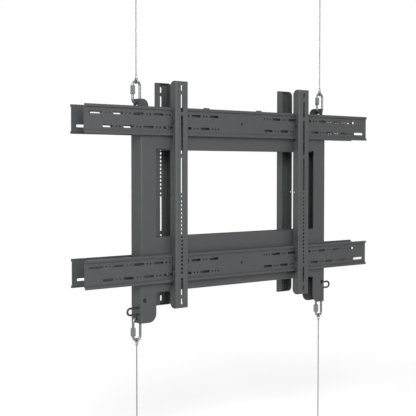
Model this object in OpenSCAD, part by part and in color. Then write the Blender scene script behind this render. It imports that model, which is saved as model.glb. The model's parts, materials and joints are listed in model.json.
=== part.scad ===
// Floor to ceiling mount: a folded steel frame held between four taut wire ropes, with slotted
// rails and upright interface brackets on its front and on its rear.
// Millimetres, +Z up, front towards -Y. The origin lies on the ceiling plane, midway between
// the two ceiling plates. Heights of the frame are measured from its centre height, mid_z.

/* [Installation] */
// Drop from the ceiling plane to the centre of the frame
ceiling_drop = 560; // [540:1:620]
// Drop from the centre of the frame to the floor plane
floor_drop = 650; // [635:1:720]

/* [Columns] */
// Width across the outer faces of the two columns
frame_w = 603; // [560:1:680]
// Depth of a column from its front face to its rear face
column_depth = 39; // [34:0.5:50]
// Thickness of the folded sheet of the columns and cross members
sheet_t = 2.5; // [2:0.1:3]
// Outer radius of the folds
fold_r = 3.5; // [3.2:0.1:5]
// Width of a column at its two broad plates
column_w = 115; // [105:1:125]
// Width of the leg that joins the broad plates
leg_w = 43; // [36:1:46]
// Top of the side notch above the frame centre
notch_top = 106; // [100:1:112]
// Bottom of the side notch below the frame centre
notch_bottom = 96; // [88:1:104]
// How far the columns stay below the top edge of the upper rails
column_top_gap = 4; // [2:0.5:6]
// How far the broad plates reach below the lower rails
apron_h = 21; // [16:1:26]
// Length of the leg below the broad plates
leg_drop = 67.5; // [64:0.5:80]
// Radius of the inner corner at the foot of the leg
foot_r = 20; // [12:1:26]
// Diameter of the access hole in the leg
access_d = 10; // [6:0.5:12]
// Height of the access hole above the foot of the leg
access_rise = 51.5; // [46:0.5:56]
// Distance of the access hole from the outer face
access_inset = 10; // [9:0.5:14]

/* [Cross members] */
// How far a cross member runs into each column
cross_overlap = 66; // [56:1:70]
// How far the upper cross member hangs below the notch line
cross_lip = 3; // [0:0.5:6]
// Distance of the two top tabs from the centre
tab_x = 86; // [60:1:120]
// Width of a top tab
tab_w = 19; // [12:1:26]
// Height of a top tab
tab_h = 9; // [6:0.5:12]
// Distance of the tabs behind the mid-plane
tab_y = 7; // [2:0.5:10]

/* [Rails] */
// Length of a rail
rail_l = 914; // [880:1:1000]
// Height of a rail
rail_h = 64; // [60:1:70]
// Sheet thickness of a rail
rail_t = 2; // [1.5:0.1:2.5]
// Gap between a rail and the columns, filled by a spacer at each bolt
rail_gap = 3.7; // [3:0.1:5]
// How far the edge strips of a rail stand out from its web
rail_step = 3; // [2.8:0.1:4]
// Height of an edge strip
strip_h = 6; // [5.5:0.1:8]
// Distance between the centre lines of the upper and lower rails
rail_spacing = 336; // [328:1:344]
// Pitch of the slots along a row
slot_pitch = 55.6; // [54:0.1:60]
// Length of a rail slot
slot_l = 28; // [24:0.5:32]
// Length of the last slot of the row that starts nearest the middle
last_slot_l = 36; // [28:0.5:40]
// Width of a rail slot
slot_w = 5.8; // [5.4:0.1:7]
// Distance between the two rows of slots
row_gap = 29; // [26:0.5:32]
// Distance from the centre of a rail to its first slot
first_slot = 75.3; // [70:0.1:80]
// Diameter of the small round holes
dot_d = 4.5; // [3:0.1:5.5]

/* [Brackets] */
// Distance between the two brackets of one side
bracket_spacing = 400; // [380:1:440]
// Length of a bracket
bracket_l = 520; // [504:1:560]
// Width of the face of a bracket
bracket_w = 36.7; // [34:0.1:42]
// Sheet thickness of a bracket
bracket_t = 2; // [1.5:0.1:2.4]
// Distance from the edge strips of the rails to the face of a bracket
bracket_reach = 12.4; // [12:0.1:16]
// Gap between the bracket flanges and the columns
flange_gap = 0.5; // [0.5:0.1:2]
// Diameter of the hole at the middle of each flange
flange_hole_d = 4; // [3:0.1:4.4]
// Radius of the corners at the ends of the flanges
flange_r = 13; // [8:0.5:14]
// Depth of the folded end lips
lip_d = 9; // [6:0.5:12]
// Width of the slots in the bracket face
face_slot_w = 6.5; // [5:0.1:8]
// Distance from the end of a bracket to its first face slot
end_margin = 9; // [8:0.1:12]
// Sheet left between neighbouring slots of a bracket face
face_bridge = 7.5; // [6:0.1:9]
// Length of the short slots at both ends of a bracket face
end_slot_l = 13.5; // [10:0.5:16]
// Length of the slots beside the rails
rail_slot_l = 40.5; // [36:0.5:44]
// Length of the long slot next to them
long_slot_l = 88.4; // [80:0.1:90]
// Length of the slot that ends near the middle of the bracket
middle_slot_l = 82; // [70:1:84]
// Diameter of the round holes in the bracket face
face_hole_d = 6; // [5:0.1:7]
// Pitch of the round holes in the bracket face
face_hole_pitch = 9.1; // [8.5:0.1:10]

/* [Latches] */
// Diameter of the latch pins and spacer pins
pin_d = 5; // [4:0.1:5.4]
// Diameter of the pin heads
pin_head_d = 9; // [8:0.1:10]
// Width of a latch
latch_w = 14; // [10:0.5:16]
// Thickness of a pin head
pin_head_t = 1.6; // [1:0.1:2.5]
// Diameter of the latch spring wire
spring_wire = 1; // [0.8:0.1:1.2]

/* [Hangers and ropes] */
// Distance of each rope from the outer face of its column
rope_inset = 1.5; // [0:0.5:2.5]
// Height of the hanger ears above the upper rails
ear_h = 17.5; // [16:0.5:22]
// Width of the hanger ears
ear_w = 24.5; // [22:0.5:34]
// Depth of a hanger web
hanger_d = 24; // [22:1:30]
// Length of a hanger
hanger_l = 92; // [84:1:100]
// Diameter of the holes that take the quick links
link_hole_d = 9; // [8.5:0.1:10]
// Distance from those holes to the edge of the sheet
link_edge = 11.5; // [11:0.1:13]
// Wire diameter of a quick link
link_wire = 6; // [5:0.1:7.5]
// Overall length of a quick link
link_l = 56; // [52:0.5:60]
// Distance between the centre lines of the two bars of a quick link
link_bar_gap = 20; // [18:0.5:22]
// Width of a link nut across its flats
link_nut_af = 11; // [10:0.1:13]
// Length of a link nut
link_nut_l = 19; // [15:0.5:19.5]
// Opening of a quick link
link_gap = 7; // [5:0.5:7.5]
// Diameter of the wire rope
rope_d = 3; // [2:0.1:4]
// Diameter of the ferrule on the rope eye
ferrule_d = 5.6; // [5:0.1:8]
// Wire diameter of the side loops
loop_wire = 4.8; // [3:0.1:6]
// How far a side loop stands out from its column
loop_reach = 32.4; // [24:0.1:40]
// Outer height of a side loop
loop_h = 20; // [16:0.5:24]
// Height of the left side loop above the foot of the leg
left_loop_rise = 27.5; // [24:0.5:32]
// Height of the right side loop above the foot of the leg
right_loop_rise = 41.5; // [36:0.5:46]

/* [Anchors] */
// Length of a ceiling or floor plate
plate_l = 76; // [70:1:90]
// Width of a ceiling or floor plate
plate_w = 36; // [30:1:44]
// Thickness of a ceiling or floor plate
plate_t = 5; // [4:0.5:8]
// Distance between the two screw holes of a plate
plate_hole_gap = 50; // [46:1:56]
// Diameter of the screw holes of a plate
plate_hole_d = 5.6; // [4:0.1:7]
// Diameter of the barrel that grips the rope
barrel_d = 15; // [12:0.5:20]

/* [Screws] */
// Diameter of the screws
screw_d = 5; // [4:0.1:5.2]
// Diameter of the screw heads
head_d = 11; // [9:0.1:12]
// Height of the screw heads
head_h = 2.4; // [2:0.1:2.7]
// Outer diameter of the spacers between rails and columns
spacer_d = 12; // [9:0.1:14]
// Width of the screw nuts across their flats
nut_af = 8; // [7:0.1:9]
// Thickness of the screw nuts
nut_h = 4; // [3:0.1:5]

/* [Hidden] */

// Clearance of a pin or thread in its hole, on the radius
fit = 0.05;
// Clearance of a bolt in its drilled hole, on the radius
drill_gap = 0.25;
// Running gap between the brackets and the rails
slide_gap = 0.3;
// Overshoot of a cutting shape past the face that it cuts
cut = 1;

steel_dark = [0.30, 0.31, 0.32];
steel_edge = [0.24, 0.25, 0.26];
zinc = [0.72, 0.73, 0.74];
black_wire = [0.07, 0.07, 0.08];

mid_z = -ceiling_drop;
floor_z = mid_z - floor_drop;
half_w = frame_w / 2;
half_d = column_depth / 2;
rail_z = rail_spacing / 2;
rail_top = rail_z + rail_h / 2;
column_top = rail_top - column_top_gap;
plate_bottom = rail_top + apron_h;
foot = plate_bottom + leg_drop;
column_x = half_w - column_w;
leg_x = half_w - leg_w;
rope_x = half_w - rope_inset;

// Distances from the mid-plane, outwards, for the front and the rear alike
rail_back = half_d + rail_gap;
web_front = rail_back + rail_t;
strip_front = web_front + rail_step;
face_front = strip_front + bracket_reach;
flange_back = half_d + flange_gap;
flange_hole_inset = 3.2;
pin_gap = 2;
pin_out = strip_front + pin_d / 2 + pin_gap;
latch_pivot_z = -rail_top + 1;
tooth_gap = 0.4;
tooth_h = strip_h - rail_t - tooth_gap;

cross_w = 2 * (column_x + cross_overlap);
cross_d = column_depth - 2 * sheet_t;

row_z = row_gap / 2;
dot_pitch = (slot_pitch - slot_l) / 3;
second_slot = first_slot + slot_pitch / 2;
rail_end_margin = 10;
bolt_slot = 2;

ear_top = rail_top + ear_h;
top_hole_z = ear_top - link_edge;
foot_hole_z = -foot + link_edge;
link_slack = (link_hole_d - link_wire) / 2 - fit;
link_r = link_bar_gap / 2;
top_link_z = top_hole_z + link_slack - link_wire / 2 - bow_rise(max(rope_inset, 2 * sheet_t - rope_inset));
foot_link_z = foot_hole_z - link_slack + link_wire / 2 + bow_rise(max(rope_inset, sheet_t - rope_inset));
link_straight = link_l - link_wire - link_bar_gap;
link_engagement = 2.5;
eye_gap = 0.5;
eye_r = (link_wire + rope_d) / 2 + eye_gap;
barrel_l = 25;
nose_l = 6;
loop_y = -7.7;

// Route of each rope: heights of its rings, from the ceiling plane
top_route = [-36, -52, -69, -86, -103, -120, -137, -154, -171, -188, -205, -222, -239, -256, -273, -290];
foot_route = [-901, -920, -938, -956, -974, -992, -1010, -1028, -1046, -1064, -1082, -1100, -1118, -1136,
    -1155, -1174];

// Folded channel in plan: web along X at y = 0, flanges towards +Y
module channel(w, d, t, r) {
    inner_r = r - t;
    difference() {
        union() {
            translate([-w / 2, r]) square([w, d - r]);
            translate([-w / 2 + r, 0]) square([w - 2 * r, d]);
            for (s = [-1, 1]) translate([s * (w / 2 - r), r]) circle(r, $fn = 48);
        }
        translate([-w / 2 + t, r]) square([w - 2 * t, d]);
        translate([-w / 2 + r, t]) square([w - 2 * r, d]);
        for (s = [-1, 1]) translate([s * (w / 2 - r), r]) circle(inner_r, $fn = 32);
    }
}

// Slot with round ends, lying along X
module slot(l, w) {
    square([l - w, w], center = true);
    for (s = [-1, 1]) translate([s * (l - w) / 2, 0]) circle(d = w, $fn = 32);
}

// Stands a flat outline in the XZ plane and gives it a thickness along Y
module upright(thickness) {
    rotate([90, 0, 0]) linear_extrude(thickness, center = true) children();
}

// Turns a flat outline, drawn as distance and height, to face along X
module sideways(thickness) {
    rotate([90, 0, 90]) linear_extrude(thickness, center = true) children();
}

// Cylinder along Y from y0 to y1
module bar_y(d, y0, y1) {
    translate([0, y0, 0]) rotate([-90, 0, 0]) cylinder(d = d, h = y1 - y0, $fn = 32);
}

// Cylinder along X from x0 to x1
module bar_x(d, x0, x1) {
    translate([x0, 0, 0]) rotate([0, 90, 0]) cylinder(d = d, h = x1 - x0, $fn = 32);
}

// Puts a right-hand piece on the right, or its mirror image on the left
module on_side(side) {
    if (side > 0) children();
    else mirror([1, 0, 0]) children();
}

// Turns a front piece to the rear
module on_face(face) {
    if (face == "front") children();
    else rotate([0, 0, 180]) children();
}

// Centres of the slots that take bolts on one half of a rail: [x, z] from the rail's centre
function bolt_points() = [
    [second_slot + bolt_slot * slot_pitch + slot_l / 2, row_z],
    [first_slot + bolt_slot * slot_pitch + slot_l / 2, -row_z]
];

// Repeats its children at every rail bolt, on the front's side
module at_rail_bolts() {
    for (z = [rail_z, -rail_z], p = bolt_points(), s = [1, -1])
        translate([s * p[0], 0, mid_z + z + s * p[1]]) children();
}

// Flat outline of a column, seen from the front, right side
module column_outline() {
    difference() {
        union() {
            translate([leg_x, -foot]) square([leg_w + cut, foot + column_top]);
            translate([column_x - cut, notch_top]) square([column_w, column_top - notch_top]);
            translate([column_x - cut, -plate_bottom]) square([column_w, plate_bottom - notch_bottom]);
        }
        difference() {
            translate([leg_x - cut, -foot - cut]) square([foot_r + cut, foot_r + cut]);
            translate([leg_x + foot_r, -foot + foot_r]) circle(foot_r, $fn = 64);
        }
    }
}

module column(side, loop_rise) {
    color(steel_dark) on_side(side) difference() {
        intersection() {
            translate([half_w, 0, mid_z - foot]) linear_extrude(foot + column_top)
                rotate(90) channel(column_depth, column_w, sheet_t, fold_r);
            translate([0, 0, mid_z]) upright(column_depth + 2 * cut) column_outline();
        }
        translate([0, 0, mid_z + foot_hole_z]) bar_x(link_hole_d, half_w - fold_r - cut, half_w + cut);
        for (s = [-1, 1])
            translate([0, loop_y, mid_z - foot + loop_rise + s * (loop_h - loop_wire) / 2])
                bar_x(loop_wire + 2 * fit, half_w - fold_r - cut, half_w + cut);
        translate([half_w - access_inset, 0, mid_z - foot + access_rise])
            bar_y(access_d, -half_d - cut, 0);
        on_side(side) rail_bolt_holes();
        hanger_bolt_holes();
    }
}

module rail_bolt_holes() {
    for (face = ["front", "rear"]) on_face(face)
        at_rail_bolts() bar_y(screw_d + 2 * drill_gap, -half_d - cut, -half_d + 2 * sheet_t + cut);
}

module hanger_bolt_holes() {
    for (z = hanger_bolt_heights(), s = [0, 1])
        mirror([s, 0, 0]) translate([0, 0, mid_z + z])
            bar_x(screw_d + 2 * drill_gap, half_w - 3 * sheet_t, half_w + cut);
}

function hanger_bolt_heights() = [rail_z - row_z, rail_z + row_z];

// Cross member from z0 to z1, folded shut along one long edge
module cross_member(z0, z1, web_on_top) {
    color(steel_dark) difference() {
        translate([0, 0, mid_z + (web_on_top ? z1 : z0)])
            mirror([0, 0, web_on_top ? 1 : 0])
                sideways(cross_w) channel(cross_d, z1 - z0, sheet_t, fold_r);
        rail_bolt_holes();
    }
}

module upper_cross_member() {
    cross_member(notch_top - cross_lip, column_top, true);
    color(steel_dark) for (s = [-1, 1])
        translate([s * tab_x, tab_y, mid_z + column_top - sheet_t / 2]) upright(sheet_t) tab_outline();
}

// Tab with rounded shoulders, standing on y = 0
module tab_outline() {
    shoulder = 3;
    translate([-tab_w / 2, 0]) square([tab_w, tab_h + sheet_t / 2 - shoulder]);
    translate([-tab_w / 2 + shoulder, 0]) square([tab_w - 2 * shoulder, tab_h + sheet_t / 2]);
    for (s = [-1, 1])
        translate([s * (tab_w / 2 - shoulder), tab_h + sheet_t / 2 - shoulder]) circle(shoulder, $fn = 32);
}

module lower_cross_member() {
    cross_member(-plate_bottom, -notch_bottom, false);
}

// Section of a rail: distance out from its back, and height
module rail_section() {
    step_z = rail_h / 2 - strip_h;
    translate([0, -step_z]) square([rail_t, 2 * step_z]);
    for (s = [0, 1]) mirror([0, s]) {
        translate([0, step_z]) square([rail_t + rail_step, rail_t]);
        translate([rail_step, step_z]) square([rail_t, strip_h]);
    }
}

// Slots of one row on one half, first one starting at x0
function slot_count(x0, last_l) = 1 + floor((rail_l / 2 - rail_end_margin - x0 - last_l) / slot_pitch);

module slot_row(x0, last_l, lead_dots) {
    count = slot_count(x0, last_l);
    for (i = [0 : count - 1]) {
        x = x0 + i * slot_pitch;
        l = i < count - 1 ? slot_l : last_l;
        translate([x + l / 2, 0]) slot(l, slot_w);
        if (i < count - 1)
            for (k = [1, 2]) translate([x + slot_l + k * dot_pitch, 0]) circle(d = dot_d, $fn = 24);
    }
    for (k = [1 : 1 : lead_dots]) translate([x0 - k * dot_pitch, 0]) circle(d = dot_d, $fn = 24);
}

// One rail, its back a spacer's length before the columns
module rail(face, z) {
    color(steel_dark) on_face(face) translate([0, -rail_back, mid_z + z]) difference() {
        sideways(rail_l) mirror([1, 0]) rail_section();
        translate([0, -rail_t / 2, 0]) upright(rail_t + 2 * cut) {
            for (turn = [0, 180]) rotate(turn) {
                translate([0, -row_z]) slot_row(first_slot, last_slot_l, 0);
                translate([0, row_z]) slot_row(second_slot, slot_l, 3);
            }
            circle(d = dot_d + 1, $fn = 24);
        }
    }
}

// Outline of a bracket from the side: distance from the mid-plane, and height. Each rail has its
// cut-out, whose top edge is a tooth that drops behind the rail's upper edge strip.
module bracket_outline() {
    lift_room = 8;
    difference() {
        translate([flange_back, -bracket_l / 2]) square([face_front - flange_back, bracket_l]);
        for (s = [0, 1]) mirror([0, s]) bracket_corner_cuts();
        for (z = [rail_z, -rail_z]) translate([0, z]) {
            translate([0, -rail_h / 2 - lift_room])
                square([strip_front + slide_gap, rail_h + lift_room - tooth_h]);
            translate([strip_front - rail_t - slide_gap, 0])
                square([rail_t + 2 * slide_gap, rail_h / 2 + slide_gap]);
        }
    }
}

// Cuts that round the two corners at the top end of a bracket
module bracket_corner_cuts() {
    end = bracket_l / 2;
    difference() {
        translate([flange_back - cut, end - flange_r]) square([flange_r + cut, flange_r + cut]);
        translate([flange_back + flange_r, end - flange_r]) circle(flange_r, $fn = 64);
    }
    difference() {
        translate([face_front - fold_r, end - fold_r]) square(fold_r + cut);
        translate([face_front - fold_r, end - fold_r]) circle(fold_r, $fn = 48);
    }
}

// Slots and holes of the bracket face, centred on x = 0, in heights from the bracket's centre
module face_pattern() {
    end_slot = bracket_l / 2 - end_margin;
    rail_slot = end_slot - end_slot_l - face_bridge;
    long_slot = rail_slot - rail_slot_l - face_bridge;
    middle_slot = long_slot - long_slot_l - face_bridge;
    small_hole = middle_slot - middle_slot_l - face_bridge + 1;
    row_start = small_hole - face_hole_pitch - face_hole_d / 2 + 0.3;
    row_room = row_start + rail_slot - rail_slot_l - face_bridge - face_hole_d / 2;
    for (s = [0, 1]) mirror([0, s]) {
        upright_slot(end_slot, end_slot_l);
        upright_slot(rail_slot, rail_slot_l);
    }
    upright_slot(long_slot, long_slot_l);
    upright_slot(middle_slot, middle_slot_l);
    translate([0, small_hole]) circle(d = face_hole_d - 1, $fn = 32);
    for (i = [0 : floor(row_room / face_hole_pitch)])
        translate([0, row_start - i * face_hole_pitch]) circle(d = face_hole_d, $fn = 32);
}

// Upright slot that hangs down from z
module upright_slot(z, l) {
    translate([0, z - l / 2]) rotate(90) slot(l, face_slot_w);
}

// One bracket in its place; the pattern of its face is turned over on the rear
module bracket(face, side) {
    color(steel_dark) on_face(face) translate([side * bracket_spacing / 2, 0, mid_z]) difference() {
        intersection() {
            union() {
                translate([0, -face_front, -bracket_l / 2])
                    linear_extrude(bracket_l)
                        channel(bracket_w, face_front - flange_back, bracket_t, bracket_fold_r());
                for (s = [-1, 1])
                    translate([0, -face_front + lip_d / 2, s * (bracket_l - bracket_t) / 2])
                        cube([bracket_w - bracket_t, lip_d, bracket_t], center = true);
            }
            sideways(bracket_w + 2 * cut) mirror([1, 0]) bracket_outline();
        }
        translate([0, -face_front, 0]) upright(2 * fold_r) mirror([0, face == "rear" ? 1 : 0])
            face_pattern();
        for (z = pin_heights())
            translate([0, -pin_out, z]) bar_x(pin_d + 2 * fit, -bracket_w / 2 - cut, bracket_w / 2 + cut);
        translate([0, -flange_back - flange_hole_inset, 0])
            bar_x(flange_hole_d, -bracket_w / 2 - cut, bracket_w / 2 + cut);
    }
}

function bracket_fold_r() = bracket_t + 1;

function pin_heights() = [rail_z, -rail_z, latch_pivot_z];

// Latch pin and two spacer pins with riveted heads, across one bracket
module pins(face, side) {
    color(zinc) on_face(face) translate([side * bracket_spacing / 2, -pin_out, mid_z])
        for (z = pin_heights()) translate([0, 0, z]) {
            bar_x(pin_d, -bracket_w / 2, bracket_w / 2);
            for (s = [-1, 1]) translate([s * (bracket_w / 2 + pin_head_t / 2), 0, 0])
                bar_x(pin_head_d, -pin_head_t / 2, pin_head_t / 2);
        }
}

// Outline of a latch about its pivot: distance out from the pivot, and height
module latch_outline() {
    boss_r = 4;
    nose_in = flange_back - pin_out;
    nose_out = strip_front - rail_t - slide_gap - pin_out;
    nose_top = tooth_h - 1;
    arm_top = -1 - slide_gap - 0.2;
    arm_out = -1;
    arm_bottom = -7;
    grip_t = 3;
    grip_bottom = -17;
    circle(boss_r, $fn = 48);
    translate([nose_in, arm_bottom]) square([nose_out - nose_in, nose_top - arm_bottom]);
    translate([nose_in, arm_bottom]) square([arm_out - nose_in, arm_top - arm_bottom]);
    translate([nose_in, grip_bottom + grip_t / 2]) square([grip_t, arm_bottom - grip_bottom]);
    translate([nose_in + grip_t / 2, grip_bottom + grip_t / 2]) circle(d = grip_t, $fn = 24);
}

module latch(face, side) {
    color(steel_edge) on_face(face)
        translate([side * bracket_spacing / 2, -pin_out, mid_z + latch_pivot_z]) difference() {
            sideways(latch_w) mirror([1, 0]) latch_outline();
            bar_x(pin_d + 2 * fit, -latch_w / 2 - cut, latch_w / 2 + cut);
        }
}

// Coils of the latch spring round the latch pin
module spring(face, side) {
    turns = 4;
    coil_r = pin_d / 2 + spring_wire / 2 + 0.4;
    color(zinc) on_face(face)
        translate([side * bracket_spacing / 2 + latch_w / 2 + spring_wire, -pin_out, mid_z + latch_pivot_z])
            for (i = [0 : turns - 1]) translate([i * (spring_wire + 0.3), 0, 0]) rotate([0, 90, 0])
                rotate_extrude($fn = 32) translate([coil_r, 0]) circle(d = spring_wire, $fn = 16);
}

// Hanger: an angle inside the column head, whose rounded ear takes the quick link. The left one
// is the right one after half a turn, so its broad side is at the front.
module hanger(side) {
    color(steel_edge) rotate(side > 0 ? 0 : 180) difference() {
        hanger_blank();
        hanger_bolt_holes();
    }
}

module hanger_blank() {
    outer = half_w - sheet_t;
    ear_r = 16;
    difference() {
        intersection() {
            translate([0, 0, mid_z + ear_top - hanger_l]) linear_extrude(hanger_l) {
                translate([outer - sheet_t, -hanger_d / 2]) square([sheet_t, hanger_d]);
                translate([outer - ear_w, hanger_d / 2 - sheet_t]) square([ear_w, sheet_t]);
            }
            translate([0, 0, mid_z]) upright(hanger_d + 2 * cut) difference() {
                translate([outer - ear_w, ear_top - hanger_l]) square([ear_w, hanger_l]);
                difference() {
                    translate([outer - ear_w - cut, ear_top - ear_r]) square(ear_r + cut);
                    translate([outer - ear_w + ear_r, ear_top - ear_r]) circle(ear_r, $fn = 64);
                }
            }
        }
        translate([0, 0, mid_z + top_hole_z]) bar_x(link_hole_d, outer - 2 * sheet_t, outer + cut);
    }
}

// Rise of a link's bow at dx beside its lowest point, with the slant of its wire
function bow_rise(dx) = let (level = sqrt(link_r * link_r - dx * dx))
    link_r - level + link_wire / 2 * (link_r / level - 1);

// Quick link standing on z = 0, open where its nut bridges the left bar
module quick_link() {
    low = link_wire / 2 + link_r;
    high = low + link_straight;
    gap_high = high - link_engagement;
    gap_low = gap_high - link_gap;
    for (z = [low, high])
        translate([0, 0, z]) rotate([90, z == low ? 180 : 0, 0])
            rotate_extrude(angle = 180, $fn = 64) translate([link_r, 0]) circle(d = link_wire, $fn = 32);
    translate([link_r, 0, low]) cylinder(d = link_wire, h = link_straight, $fn = 32);
    translate([-link_r, 0, low]) cylinder(d = link_wire, h = gap_low - low, $fn = 32);
    translate([-link_r, 0, gap_high]) cylinder(d = link_wire, h = high - gap_high, $fn = 32);
}

// Hexagonal nut round the left bar of a quick link
module link_nut_shape() {
    lead = 1.5;
    nut_low = link_l - link_wire / 2 - link_r - 0.2 - link_nut_l;
    translate([-link_r, 0, nut_low]) difference() {
        intersection() {
            cylinder(d = link_nut_af / cos(30), h = link_nut_l, $fn = 6);
            union() {
                cylinder(d1 = link_nut_af, d2 = link_nut_af + 2 * lead, h = lead, $fn = 48);
                translate([0, 0, lead]) cylinder(d = link_nut_af + 2 * lead + 1, h = link_nut_l - 2 * lead, $fn = 48);
                translate([0, 0, link_nut_l - lead])
                    cylinder(d1 = link_nut_af + 2 * lead, d2 = link_nut_af, h = lead, $fn = 48);
            }
        }
        translate([0, 0, -cut]) cylinder(d = link_wire + 2 * fit, h = link_nut_l + 2 * cut, $fn = 32);
    }
}

// Places link pieces at the top ears, or upside down at the feet
module at_link(side, end) {
    if (end == "top") translate([side * rope_x, 0, mid_z + top_link_z]) children();
    else translate([side * rope_x, 0, mid_z + foot_link_z]) mirror([0, 0, 1]) children();
}

module link(side, end) {
    color(zinc) at_link(side, end) quick_link();
}

module link_nut(side, end) {
    color(zinc) at_link(side, end) link_nut_shape();
}

// Eye of the rope round the far bow of the link, closed by its ferrule
module rope_eye(side, end) {
    eye_z = link_l - link_wire - 2 * fit + eye_r - rope_d / 2;
    ferrule_z = eye_z + eye_r - rope_d / 2;
    color(zinc) at_link(side, end) {
        translate([0, 0, eye_z]) rotate([0, 90, 0])
            rotate_extrude($fn = 48) translate([eye_r, 0]) circle(d = rope_d, $fn = 24);
        translate([0, 0, ferrule_z]) cylinder(d = ferrule_d, h = ferrule_top(end) - ferrule_z, $fn = 32);
    }
}

// Height of the ferrule's far end above the start of its link, so that it meets the rope
function ferrule_top(end) = end == "top"
    ? top_route[len(top_route) - 1] - mid_z - top_link_z
    : mid_z + foot_link_z - foot_route[0];

// Straight tube through a list of heights
module rope_tube(route) {
    sides = 8;
    rings = len(route);
    points = [for (z = route, k = [0 : sides - 1])
        [rope_d / 2 * cos(k * 360 / sides), rope_d / 2 * sin(k * 360 / sides), z]];
    walls = [for (i = [0 : rings - 2], k = [0 : sides - 1])
        [i * sides + k, i * sides + (k + 1) % sides,
         (i + 1) * sides + (k + 1) % sides, (i + 1) * sides + k]];
    polyhedron(points, concat(
        [[for (k = [sides - 1 : -1 : 0]) k]], walls, [[for (k = [0 : sides - 1]) (rings - 1) * sides + k]]));
}

module rope(side, route) {
    color(zinc) translate([side * rope_x, 0, 0]) rope_tube([for (i = [len(route) - 1 : -1 : 0]) route[i]]);
}

// Puts an anchor piece under the ceiling, or upside down on the floor
module at_anchor(side, end) {
    if (end == "ceiling") translate([side * rope_x, 0, 0]) children();
    else translate([side * rope_x, 0, floor_z]) mirror([0, 0, 1]) children();
}

module anchor_plate(side, end) {
    color(zinc) at_anchor(side, end) difference() {
        translate([0, 0, -plate_t]) linear_extrude(plate_t) rotate(90) slot(plate_l, plate_w);
        for (s = [-1, 1]) translate([0, s * plate_hole_gap / 2, -plate_t - cut])
            cylinder(d = plate_hole_d, h = plate_t + 2 * cut, $fn = 32);
    }
}

// Barrel that grips the rope end, with a tapered nose
module barrel(side, end) {
    nose_d = rope_d + 3;
    color(zinc) at_anchor(side, end) {
        translate([0, 0, -plate_t - barrel_l]) cylinder(d = barrel_d, h = barrel_l, $fn = 48);
        translate([0, 0, -plate_t - barrel_l - nose_l])
            cylinder(d1 = nose_d, d2 = barrel_d - 2, h = nose_l, $fn = 48);
    }
}

// U-shaped wire loop through the web of a column, with a head on each inner end
module side_loop(side, rise) {
    arc_r = (loop_h - loop_wire) / 2;
    arc_x = half_w + loop_reach - loop_wire / 2 - arc_r;
    inside = half_w - sheet_t;
    head_t = 2;
    color(black_wire) on_side(side) translate([0, loop_y, mid_z - foot + rise]) {
        translate([arc_x, 0, 0]) rotate([90, 90, 0])
            rotate_extrude(angle = 180, $fn = 64) translate([arc_r, 0]) circle(d = loop_wire, $fn = 24);
        for (s = [-1, 1]) translate([0, 0, s * arc_r]) {
            bar_x(loop_wire, inside, arc_x);
            bar_x(2 * loop_wire, inside - head_t, inside);
        }
    }
}

// Button head screw along +Y: the head stands before y = 0, the shank behind it
module button_screw(l) {
    difference() {
        union() {
            translate([0, -head_h, 0]) rotate([-90, 0, 0])
                cylinder(d1 = head_d - 4, d2 = head_d, h = head_h, $fn = 48);
            bar_y(screw_d, 0, l);
        }
        translate([0, -head_h - cut, 0]) rotate([-90, 0, 0]) cylinder(d = screw_d - 1, h = cut + 2, $fn = 6);
    }
}

// Hexagonal nut along +Y from y = 0
module hex_nut() {
    difference() {
        rotate([-90, 0, 0]) cylinder(d = nut_af / cos(30), h = nut_h, $fn = 6);
        bar_y(screw_d + 2 * fit, -cut, nut_h + cut);
    }
}

module rail_spacers() {
    color(zinc) for (face = ["front", "rear"]) on_face(face)
        at_rail_bolts() translate([0, -rail_back, 0]) difference() {
            bar_y(spacer_d, 0, rail_gap);
            bar_y(screw_d + 2 * fit, -cut, rail_gap + cut);
        }
}

module rail_screws() {
    grip = rail_t + rail_gap + 2 * sheet_t;
    color(zinc) for (face = ["front", "rear"]) on_face(face)
        at_rail_bolts() translate([0, -web_front, 0]) button_screw(grip + nut_h + 1);
}

module rail_nuts() {
    color(zinc) for (face = ["front", "rear"]) on_face(face)
        at_rail_bolts() translate([0, -half_d + 2 * sheet_t, 0]) hex_nut();
}

// Repeats its children, drawn along +Y, at the hanger bolts, pointing inwards
module at_hanger_bolts() {
    for (side = [-1, 1]) on_side(side) for (z = hanger_bolt_heights())
        translate([half_w, 0, mid_z + z]) rotate(90) children();
}

module hanger_screws() {
    color(zinc) at_hanger_bolts() button_screw(2 * sheet_t + nut_h + 1);
}

module hanger_nuts() {
    color(zinc) at_hanger_bolts() translate([0, 2 * sheet_t, 0]) hex_nut();
}

column(-1, left_loop_rise);  // left_column
column(1, right_loop_rise);  // right_column
upper_cross_member();
lower_cross_member();
rail("front", rail_z);  // front_upper_rail
rail("front", -rail_z);  // front_lower_rail
rail("rear", rail_z);  // rear_upper_rail
rail("rear", -rail_z);  // rear_lower_rail
bracket("front", -1);  // front_left_bracket
bracket("front", 1);  // front_right_bracket
bracket("rear", 1);  // rear_left_bracket
bracket("rear", -1);  // rear_right_bracket
pins("front", -1);  // front_left_pins
pins("front", 1);  // front_right_pins
pins("rear", 1);  // rear_left_pins
pins("rear", -1);  // rear_right_pins
latch("front", -1);  // front_left_latch
latch("front", 1);  // front_right_latch
latch("rear", 1);  // rear_left_latch
latch("rear", -1);  // rear_right_latch
spring("front", -1);  // front_left_spring
spring("front", 1);  // front_right_spring
spring("rear", 1);  // rear_left_spring
spring("rear", -1);  // rear_right_spring
hanger(-1);  // left_hanger
hanger(1);  // right_hanger
link(-1, "top");  // top_left_link
link(1, "top");  // top_right_link
link(-1, "bottom");  // bottom_left_link
link(1, "bottom");  // bottom_right_link
link_nut(-1, "top");  // top_left_link_nut
link_nut(1, "top");  // top_right_link_nut
link_nut(-1, "bottom");  // bottom_left_link_nut
link_nut(1, "bottom");  // bottom_right_link_nut
rope_eye(-1, "top");  // top_left_rope_eye
rope_eye(1, "top");  // top_right_rope_eye
rope_eye(-1, "bottom");  // bottom_left_rope_eye
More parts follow.
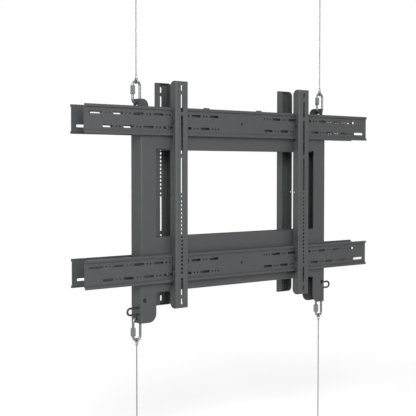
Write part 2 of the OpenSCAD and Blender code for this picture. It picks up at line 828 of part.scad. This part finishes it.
rope_eye(1, "bottom");  // bottom_right_rope_eye
rope(-1, top_route);  // top_left_rope
rope(1, top_route);  // top_right_rope
rope(-1, foot_route);  // bottom_left_rope
rope(1, foot_route);  // bottom_right_rope
anchor_plate(-1, "ceiling");  // ceiling_left_plate
anchor_plate(1, "ceiling");  // ceiling_right_plate
anchor_plate(-1, "floor");  // floor_left_plate
anchor_plate(1, "floor");  // floor_right_plate
barrel(-1, "ceiling");  // ceiling_left_barrel
barrel(1, "ceiling");  // ceiling_right_barrel
barrel(-1, "floor");  // floor_left_barrel
barrel(1, "floor");  // floor_right_barrel
side_loop(-1, left_loop_rise);  // left_side_loop
side_loop(1, right_loop_rise);  // right_side_loop
rail_spacers();
rail_screws();
rail_nuts();
hanger_screws();
hanger_nuts();
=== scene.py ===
"""Looks of the floor to ceiling mount: stranded ropes, coiled springs, finishes, camera and studio."""
import json
import math

import bpy
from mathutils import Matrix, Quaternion, Vector


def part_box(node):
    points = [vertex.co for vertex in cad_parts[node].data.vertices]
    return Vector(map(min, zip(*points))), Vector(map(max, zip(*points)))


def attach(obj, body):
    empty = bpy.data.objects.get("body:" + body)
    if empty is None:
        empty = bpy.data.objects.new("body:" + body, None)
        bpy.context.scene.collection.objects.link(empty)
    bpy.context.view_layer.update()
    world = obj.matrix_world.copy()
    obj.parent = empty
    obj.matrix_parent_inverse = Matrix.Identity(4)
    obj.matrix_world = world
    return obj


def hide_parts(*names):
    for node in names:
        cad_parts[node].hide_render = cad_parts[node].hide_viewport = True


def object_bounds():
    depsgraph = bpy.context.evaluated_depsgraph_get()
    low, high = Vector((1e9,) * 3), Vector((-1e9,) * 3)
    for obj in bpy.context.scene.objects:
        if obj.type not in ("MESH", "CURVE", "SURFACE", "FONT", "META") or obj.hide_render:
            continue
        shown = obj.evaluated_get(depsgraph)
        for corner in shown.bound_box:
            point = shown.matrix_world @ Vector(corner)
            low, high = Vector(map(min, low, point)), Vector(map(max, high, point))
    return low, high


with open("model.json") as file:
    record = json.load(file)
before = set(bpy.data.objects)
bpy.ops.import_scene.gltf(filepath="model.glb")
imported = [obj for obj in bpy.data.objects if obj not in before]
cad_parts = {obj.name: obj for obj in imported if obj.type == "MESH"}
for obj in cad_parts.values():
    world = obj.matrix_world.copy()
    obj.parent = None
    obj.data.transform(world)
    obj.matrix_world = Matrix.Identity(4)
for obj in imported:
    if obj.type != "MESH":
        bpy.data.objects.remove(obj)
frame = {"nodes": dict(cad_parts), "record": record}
cad_low, cad_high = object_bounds()

MM = 0.001
SIDES = ("left", "right")
FACES = ("front", "rear")
ENDS = ("top", "bottom")

# Camera: place in metres, in the frame of the part, turns in degrees, lens and sensor in millimetres
CAMERA_PLACE = (-1.6626, -1.8306, -0.4967)
CAMERA_YAW = 40.72
CAMERA_PITCH = 2.30
CAMERA_ROLL = 0.03
CAMERA_LENS = 87.4
SENSOR_WIDTH = 36.0

# Wire rope, in metres: distance from the middle, diameter, strands, the length in which they go round
# once, the steps between the points along them, and the heights of the route points
ROPE_X = 0.300
ROPE_D = 0.003
STRANDS = 6
STRAND_TURN = 0.020
STRAND_STEP = 0.0017
EYE_STRAND_STEP = 0.0008
TOP_ROUTE = (-0.290, -0.273, -0.256, -0.239, -0.222, -0.205, -0.188, -0.171,
             -0.154, -0.137, -0.120, -0.103, -0.086, -0.069, -0.052, -0.036)
FOOT_ROUTE = (-0.901, -0.920, -0.938, -0.956, -0.974, -0.992, -1.010, -1.028,
              -1.046, -1.064, -1.082, -1.100, -1.118, -1.136, -1.155, -1.174)

# Light: strength of the world on the part, where 1 is white, and the lamps
WORLD_LIGHT = 0.59
LAMPS = (
    # name, place in metres, size in metres, power in watts
    ("key", (-1.25, -1.6, 0.4), 1.1, 54),
    ("fill", (2.0, -3.2, 0.3), 2.6, 4),
    ("rear", (0.8, 3.0, 0.8), 2.6, 60),
)

# Floor: half its width, its gap under the part, and where its shadows fade into the background
FLOOR_HALF = 14.0
FLOOR_GAP = 0.0005
FLOOR_COLOUR = (0.91, 0.91, 0.91)
FLOOR_ROUGHNESS = 0.85
SHADOW_NEAR = 0.9
SHADOW_FAR = 1.7

# Finish of each material slot in the record
SLOT_MATERIALS = {
    "frame_steel": "frame_coat",
    "bracket_steel": "bracket_coat",
    "plate_steel": "shaded_plate_coat",
    "screw_zinc": "black_zinc",
    "link_zinc": "link_zinc",
    "wire_rope": "rope_steel",
    "fitting_zinc": "fitting_zinc",
    "black_wire": "black_wire",
}

# The finishes by name, filled by make_materials()
MATERIALS = {}


def make_camera():
    """The camera stands where the photograph was taken from."""
    data = bpy.data.cameras.new("camera")
    data.lens = CAMERA_LENS
    data.sensor_width = SENSOR_WIDTH
    camera = bpy.data.objects.new("camera", data)
    bpy.context.scene.collection.objects.link(camera)
    yaw, pitch = math.radians(CAMERA_YAW), math.radians(CAMERA_PITCH)
    forward = Vector((math.sin(yaw) * math.cos(pitch), math.cos(yaw) * math.cos(pitch), -math.sin(pitch)))
    roll = Quaternion((0, 0, 1), math.radians(CAMERA_ROLL))
    camera.location = CAMERA_PLACE
    camera.rotation_mode = "QUATERNION"
    camera.rotation_quaternion = forward.to_track_quat("-Z", "Y") @ roll
    bpy.context.scene.camera = camera


def mesh_object(name, points, faces, smooth=True):
    """A mesh object from points and faces, in metres, in the frame of the part."""
    mesh = bpy.data.meshes.new(name)
    mesh.from_pydata([tuple(p) for p in points], [], faces)
    mesh.validate()
    mesh.update()
    for polygon in mesh.polygons:
        polygon.use_smooth = smooth
    piece = bpy.data.objects.new(name, mesh)
    bpy.context.scene.collection.objects.link(piece)
    return piece


class Builder:
    """Collects the swept tubes of one piece."""

    def __init__(self):
        self.points = []
        self.faces = []

    def ring_strip(self, rings):
        """Joins rings of points, all of one length, with four-sided faces and a cap at each end."""
        base = len(self.points)
        sides = len(rings[0])
        last = base + (len(rings) - 1) * sides
        for ring in rings:
            self.points.extend(ring)
        for low in range(base, last, sides):
            high = low + sides
            for k in range(sides):
                n = (k + 1) % sides
                self.faces.append((low + k, low + n, high + n, high + k))
        self.faces.append(tuple(base + k for k in reversed(range(sides))))
        self.faces.append(tuple(last + k for k in range(sides)))

    def tube(self, line, radius, sides):
        """Sweeps a circle along a line of points; radius is a number, or one for each point."""
        line = [Vector(p) for p in line]
        rings = []
        across = None
        for i, point in enumerate(line):
            after = line[min(i + 1, len(line) - 1)]
            before = line[max(i - 1, 0)]
            along = (after - before).normalized()
            if across is None:
                across = along.orthogonal().normalized()
            across = (across - along * across.dot(along)).normalized()
            third = along.cross(across)
            r = radius[i] if hasattr(radius, "__len__") else radius
            rings.append([point + across * (r * math.cos(2 * math.pi * k / sides))
                          + third * (r * math.sin(2 * math.pi * k / sides)) for k in range(sides)])
        self.ring_strip(rings)

    def finish(self, name):
        """The piece, with all that was added."""
        return mesh_object(name, self.points, self.faces)


def along_line(line, step):
    """Points spaced evenly along a line of points, with the direction there and the distance run."""
    line = [Vector(p) for p in line]
    lengths = [(b - a).length for a, b in zip(line, line[1:])]
    total = sum(lengths)
    count = max(2, round(total / step))
    spots = []
    for i in range(count + 1):
        run = total * i / count
        left = run
        k = 0
        while k < len(lengths) - 1 and left > lengths[k]:
            left -= lengths[k]
            k += 1
        direction = (line[k + 1] - line[k]).normalized()
        spots.append((line[k] + direction * min(left, lengths[k]), direction, run))
    return spots


def add_strands(builder, line, step):
    """Six strands laid round a core, along a line that stays square to the X axis."""
    sides = 7
    strand_r = ROPE_D / 6
    lay_r = ROPE_D / 3
    across = Vector((1, 0, 0))
    spots = along_line(line, step)
    builder.tube([spot[0] for spot in spots], strand_r, sides)
    for strand in range(STRANDS):
        laid = []
        for point, direction, run in spots:
            third = direction.cross(across).normalized()
            angle = 2 * math.pi * (strand / STRANDS + run / STRAND_TURN)
            laid.append(point + (across * math.cos(angle) + third * math.sin(angle)) * lay_r)
        builder.tube(laid, strand_r, sides)


def make_rope_eye(end, side):
    """A stranded loop round the bow of a quick link, closed by a pressed ferrule."""
    steps = 48
    ferrule_sides = 24
    chamfer = 0.6 * MM
    name = f"{end}_{side}_rope_eye"
    low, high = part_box(name)
    middle = (low + high) / 2
    up = 1 if end == "top" else -1
    near, far = (low.z, high.z) if end == "top" else (high.z, low.z)
    eye_r = (high.y - low.y) / 2 - ROPE_D / 2
    centre = Vector((middle.x, middle.y, near + up * (eye_r + ROPE_D / 2)))
    loop = []
    for i in range(steps + 1):
        angle = 2 * math.pi * i / steps
        loop.append(centre + Vector((0, eye_r * math.sin(angle), up * eye_r * math.cos(angle))))
    builder = Builder()
    add_strands(builder, loop, EYE_STRAND_STEP)
    start = centre.z + up * (eye_r - ROPE_D / 2)
    ferrule_r = (high.x - low.x) / 2
    heights = (start, start + up * chamfer, far - up * chamfer, far)
    builder.tube([(middle.x, middle.y, z) for z in heights],
                 (ferrule_r - chamfer, ferrule_r, ferrule_r, ferrule_r - chamfer), ferrule_sides)
    eye = builder.finish(f"{name}_loop")
    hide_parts(name)
    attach(eye, "frame")
    dress(eye, "fitting_zinc")
    return eye


def make_ropes():
    """Four taut wire ropes with their eyes, from the quick links to the ceiling and floor fittings."""
    for end, route in zip(ENDS, (TOP_ROUTE, FOOT_ROUTE)):
        for side, sign in zip(SIDES, (-1, 1)):
            line = [(sign * ROPE_X, 0, z) for z in route]
            builder = Builder()
            add_strands(builder, line, STRAND_STEP)
            rope = builder.finish(f"{end}_{side}_stranded_rope")
            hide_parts(f"{end}_{side}_rope")
            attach(rope, "frame")
            eye = make_rope_eye(end, side)
            dress(rope, "rope_steel")


def make_springs():
    """The coils of the four latch springs, round the latch pins."""
    wire_r = 0.5 * MM
    wire_sides = 8
    turns = 4
    points_a_turn = 24
    points = turns * points_a_turn
    for face in FACES:
        for side in SIDES:
            name = f"{face}_{side}_spring"
            low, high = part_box(name)
            centre = (low + high) / 2
            coil_r = (high.z - low.z) / 2 - wire_r
            x0, x1 = low.x + wire_r, high.x - wire_r
            out = -1 if face == "front" else 1
            line = []
            for i in range(points + 1):
                angle = 2 * math.pi * i / points_a_turn
                x = x0 + (x1 - x0) * i / points
                y = centre.y + out * coil_r * math.cos(angle)
                line.append((x, y, centre.z + coil_r * math.sin(angle)))
            builder = Builder()
            builder.tube(line, wire_r, wire_sides)
            coil = builder.finish(f"{name}_coil")
            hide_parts(name)
            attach(coil, f"{face}_{side}_bracket")
            dress(coil, "spring_steel")


class Finish:
    """A material with its principled shader, soft edges and short ways to add texture nodes."""

    def __init__(self, name, colour, roughness, edge_radius, edge_wear_and_highlight, metallic=0.0, specular=0.5):
        self.material = bpy.data.materials.new(name)
        self.material.use_nodes = True
        self.nodes = self.material.node_tree.nodes
        self.links = self.material.node_tree.links
        self.shader = self.nodes["Principled BSDF"]
        self.shader.inputs["Base Color"].default_value = (*colour, 1)
        self.shader.inputs["Roughness"].default_value = roughness
        self.shader.inputs["Metallic"].default_value = metallic
        self.shader.inputs["Specular IOR Level"].default_value = specular
        self.colour = colour
        self.place = self.nodes.new("ShaderNodeTexCoord").outputs["Object"]
        self.round_edges(edge_radius, edge_wear_and_highlight)

    def noise(self, scale, detail, stretch=(1, 1, 1)):
        """Noise with scale grains a metre; a stretch under 1 draws them out along that axis."""
        mapping = self.nodes.new("ShaderNodeMapping")
        mapping.inputs["Scale"].default_value = stretch
        self.links.new(self.place, mapping.inputs["Vector"])
        texture = self.nodes.new("ShaderNodeTexNoise")
        texture.inputs["Scale"].default_value = scale
        texture.inputs["Detail"].default_value = detail
        self.links.new(mapping.outputs["Vector"], texture.inputs["Vector"])
        return texture.outputs["Fac"]

    def spread(self, value, low, high, start=0.3, end=0.7):
        """Turns values from start to end, which hold most of a noise, into values from low to high."""
        node = self.nodes.new("ShaderNodeMapRange")
        for socket, number in zip(("From Min", "From Max", "To Min", "To Max"), (start, end, low, high)):
            node.inputs[socket].default_value = number
        self.links.new(value, node.inputs["Value"])
        return node.outputs["Result"]

    def vary_colour(self, value, amount):
        """Darkens and lightens the colour by up to amount, with a noise."""
        scaled = self.spread(value, 1 - amount, 1 + amount)
        node = self.nodes.new("ShaderNodeMath")
        node.operation = "MULTIPLY"
        self.links.new(self.tone, node.inputs[0])
        self.links.new(scaled, node.inputs[1])
        self.tone = node.outputs["Value"]

    def bump(self, value, height, strength):
        """Raises the surface by up to height metres."""
        node = self.nodes.new("ShaderNodeBump")
        node.inputs["Strength"].default_value = strength
        node.inputs["Distance"].default_value = height
        self.links.new(value, node.inputs["Height"])
        self.links.new(self.normal, node.inputs["Normal"])
        self.normal = node.outputs["Normal"]

    def round_edges(self, radius, wear_and_highlight):
        """Rounds the edges in the shading, and lightens the colour there, partly as wear and partly as a
        painted highlight.
        """
        full_lightening_cosine = 0.86
        bevel = self.nodes.new("ShaderNodeBevel")
        bevel.samples = 4
        bevel.inputs["Radius"].default_value = radius
        self.normal = bevel.outputs["Normal"]
        flat = self.nodes.new("ShaderNodeNewGeometry").outputs["Normal"]
        turn = self.nodes.new("ShaderNodeVectorMath")
        turn.operation = "DOT_PRODUCT"
        self.links.new(bevel.outputs["Normal"], turn.inputs[0])
        self.links.new(flat, turn.inputs[1])
        # Lighter colour along the edges: partly wear of the finish, partly a painted highlight where
        # folds catch light
        self.tone = self.spread(turn.outputs["Value"], 1 + wear_and_highlight, 1, start=full_lightening_cosine, end=1.0)

    def vary_roughness(self, value, low, high):
        """Lets the roughness run from low to high, with a noise."""
        self.links.new(self.spread(value, low, high), self.shader.inputs["Roughness"])

    def done(self):
        """The material, with its tone and normal joined to the shader."""
        node = self.nodes.new("ShaderNodeVectorMath")
        node.operation = "SCALE"
        node.inputs[0].default_value = self.colour
        self.links.new(self.tone, node.inputs["Scale"])
        self.links.new(node.outputs["Vector"], self.shader.inputs["Base Color"])
        self.links.new(self.normal, self.shader.inputs["Normal"])
        return self.material


def powder_coat(name, colour):
    """Fine-texture powder coat: a close grain, cloudy tone, and thinner edges, lighter there as wear and
    as a painted highlight.
    """
    finish = Finish(name, colour, roughness=0.5, edge_radius=0.6 * MM, edge_wear_and_highlight=0.22, specular=0.42)
    finish.vary_colour(finish.noise(scale=1500, detail=1.0), amount=0.10)
    finish.vary_colour(finish.noise(scale=55, detail=3.0), amount=0.05)
    finish.vary_colour(finish.noise(scale=7, detail=2.0), amount=0.05)
    finish.bump(finish.noise(scale=1300, detail=2.0), height=0.05 * MM, strength=0.55)
    finish.bump(finish.noise(scale=420, detail=1.0), height=0.06 * MM, strength=0.3)
    finish.vary_roughness(finish.noise(scale=14, detail=3.0), low=0.46, high=0.58)
    return finish.done()


def bright_zinc(name, colour, roughness):
    """Bright plating or bare wire: metal with faint clouds, drawn streaks and softened edges."""
    finish = Finish(name, colour, roughness, edge_radius=0.25 * MM, edge_wear_and_highlight=0.10, metallic=1.0)
    finish.vary_colour(finish.noise(scale=90, detail=3.0), amount=0.10)
    finish.vary_colour(finish.noise(scale=900, detail=2.0), amount=0.06)
    streaks = finish.noise(scale=700, detail=2.0, stretch=(1, 1, 0.12))
    finish.bump(streaks, height=0.03 * MM, strength=0.4)
    clouds = finish.noise(scale=160, detail=3.0)
    finish.vary_roughness(clouds, low=roughness - 0.06, high=roughness + 0.10)
    return finish.done()


def black_plating(name, colour, roughness, metallic):
    """Dark plated or lacquered hardware, smoother than the powder coat."""
    finish = Finish(name, colour, roughness, edge_radius=0.3 * MM, edge_wear_and_highlight=0.30, metallic=metallic)
    finish.vary_colour(finish.noise(scale=260, detail=3.0), amount=0.10)
    finish.bump(finish.noise(scale=900, detail=2.0), height=0.02 * MM, strength=0.4)
    clouds = finish.noise(scale=60, detail=3.0)
    finish.vary_roughness(clouds, low=roughness - 0.06, high=roughness + 0.08)
    return finish.done()


def make_materials():
    """Makes all finishes, each kept under its name."""
    MATERIALS["frame_coat"] = powder_coat("frame_coat", (0.041, 0.0425, 0.0435))
    MATERIALS["bracket_coat"] = powder_coat("bracket_coat", (0.045, 0.0465, 0.0475))
    # The plate coat is a little darker than the frame coat: painted shade on the hanger ears
    MATERIALS["shaded_plate_coat"] = powder_coat("shaded_plate_coat", (0.039, 0.0402, 0.041))
    MATERIALS["black_zinc"] = black_plating("black_zinc", (0.055, 0.055, 0.058), 0.45, metallic=0.6)
    MATERIALS["spring_steel"] = bright_zinc("spring_steel", (0.34, 0.34, 0.35), 0.34)
    MATERIALS["link_zinc"] = bright_zinc("link_zinc", (0.20, 0.204, 0.208), 0.30)
    MATERIALS["fitting_zinc"] = bright_zinc("fitting_zinc", (0.30, 0.305, 0.31), 0.36)
    MATERIALS["rope_steel"] = bright_zinc("rope_steel", (0.28, 0.284, 0.29), 0.34)
    MATERIALS["black_wire"] = black_plating("black_wire", (0.012, 0.012, 0.013), 0.32, metallic=0.0)


def dress(piece, material):
    """Gives a piece the finish of this name as its only material."""
    if piece.material_slots:
        for slot in piece.material_slots:
            slot.material = MATERIALS[material]
    else:
        piece.data.materials.append(MATERIALS[material])


def dress_frame():
    """Each piece of the frame takes the finish of its material slot in the record."""
    for row in frame["record"]["subparts"]:
        dress(frame["nodes"][row["node"]], SLOT_MATERIALS[row["material_slot"]])


def plain_rays(nodes, links):
    """Socket with 1 for rays that see plain white: from the camera, through glass or by a gloss."""
    path = nodes.new("ShaderNodeLightPath")
    seen = path.outputs["Is Camera Ray"]
    for kind in ("Is Transmission Ray", "Is Glossy Ray"):
        either = nodes.new("ShaderNodeMath")
        either.operation = "MAXIMUM"
        links.new(seen, either.inputs[0])
        links.new(path.outputs[kind], either.inputs[1])
        seen = either.outputs["Value"]
    return seen


def make_world():
    """A white background, and an even light on the part."""
    world = bpy.data.worlds.new("studio")
    bpy.context.scene.world = world
    world.use_nodes = True
    nodes, links = world.node_tree.nodes, world.node_tree.links
    strength = nodes.new("ShaderNodeMapRange")
    strength.inputs["To Min"].default_value = WORLD_LIGHT
    strength.inputs["To Max"].default_value = 1.0
    links.new(plain_rays(nodes, links), strength.inputs["Value"])
    background = nodes["Background"]
    background.inputs["Color"].default_value = (1, 1, 1, 1)
    links.new(strength.outputs["Result"], background.inputs["Strength"])


def make_lamps():
    """Soft square lamps that face the middle of the part."""
    target = (cad_low + cad_high) / 2
    for name, place, size, power in LAMPS:
        data = bpy.data.lights.new(name, "AREA")
        data.size = size
        data.energy = power
        lamp = bpy.data.objects.new(name, data)
        lamp.location = place
        lamp.rotation_mode = "QUATERNION"
        lamp.rotation_quaternion = (target - Vector(place)).to_track_quat("-Z", "Y")
        bpy.context.scene.collection.objects.link(lamp)


def make_floor_material():
    """Matt and pale near the part, plain white beyond it."""
    material = bpy.data.materials.new("floor")
    material.use_nodes = True
    nodes, links = material.node_tree.nodes, material.node_tree.links
    shader = nodes["Principled BSDF"]
    shader.inputs["Base Color"].default_value = (*FLOOR_COLOUR, 1)
    shader.inputs["Roughness"].default_value = FLOOR_ROUGHNESS
    place = nodes.new("ShaderNodeTexCoord").outputs["Object"]
    flatten = nodes.new("ShaderNodeVectorMath")
    flatten.operation = "MULTIPLY"
    flatten.inputs[1].default_value = (1, 1, 0)
    links.new(place, flatten.inputs[0])
    distance = nodes.new("ShaderNodeVectorMath")
    distance.operation = "LENGTH"
    links.new(flatten.outputs["Vector"], distance.inputs[0])
    far = nodes.new("ShaderNodeMapRange")
    far.interpolation_type = "SMOOTHSTEP"
    far.inputs["From Min"].default_value = SHADOW_NEAR
    far.inputs["From Max"].default_value = SHADOW_FAR
    links.new(distance.outputs["Value"], far.inputs["Value"])
    both = nodes.new("ShaderNodeMath")
    both.operation = "MULTIPLY"
    links.new(plain_rays(nodes, links), both.inputs[0])
    links.new(far.outputs["Result"], both.inputs[1])
    white = nodes.new("ShaderNodeEmission")
    mix = nodes.new("ShaderNodeMixShader")
    links.new(both.outputs["Value"], mix.inputs["Fac"])
    links.new(shader.outputs["BSDF"], mix.inputs[1])
    links.new(white.outputs["Emission"], mix.inputs[2])
    links.new(mix.outputs["Shader"], nodes["Material Output"].inputs["Surface"])
    return material


def make_floor():
    """A pale floor that turns into the white background away from the part."""
    z = cad_low.z - FLOOR_GAP
    corners = [(-FLOOR_HALF, -FLOOR_HALF, z), (FLOOR_HALF, -FLOOR_HALF, z),
               (FLOOR_HALF, FLOOR_HALF, z), (-FLOOR_HALF, FLOOR_HALF, z)]
    floor = mesh_object("floor", corners, [(0, 1, 2, 3)], smooth=False)
    floor.data.materials.append(make_floor_material())


bpy.context.scene.view_settings.view_transform = "Standard"
make_camera()
make_materials()
make_ropes()
dress_frame()
make_springs()
make_world()
make_lamps()
make_floor()
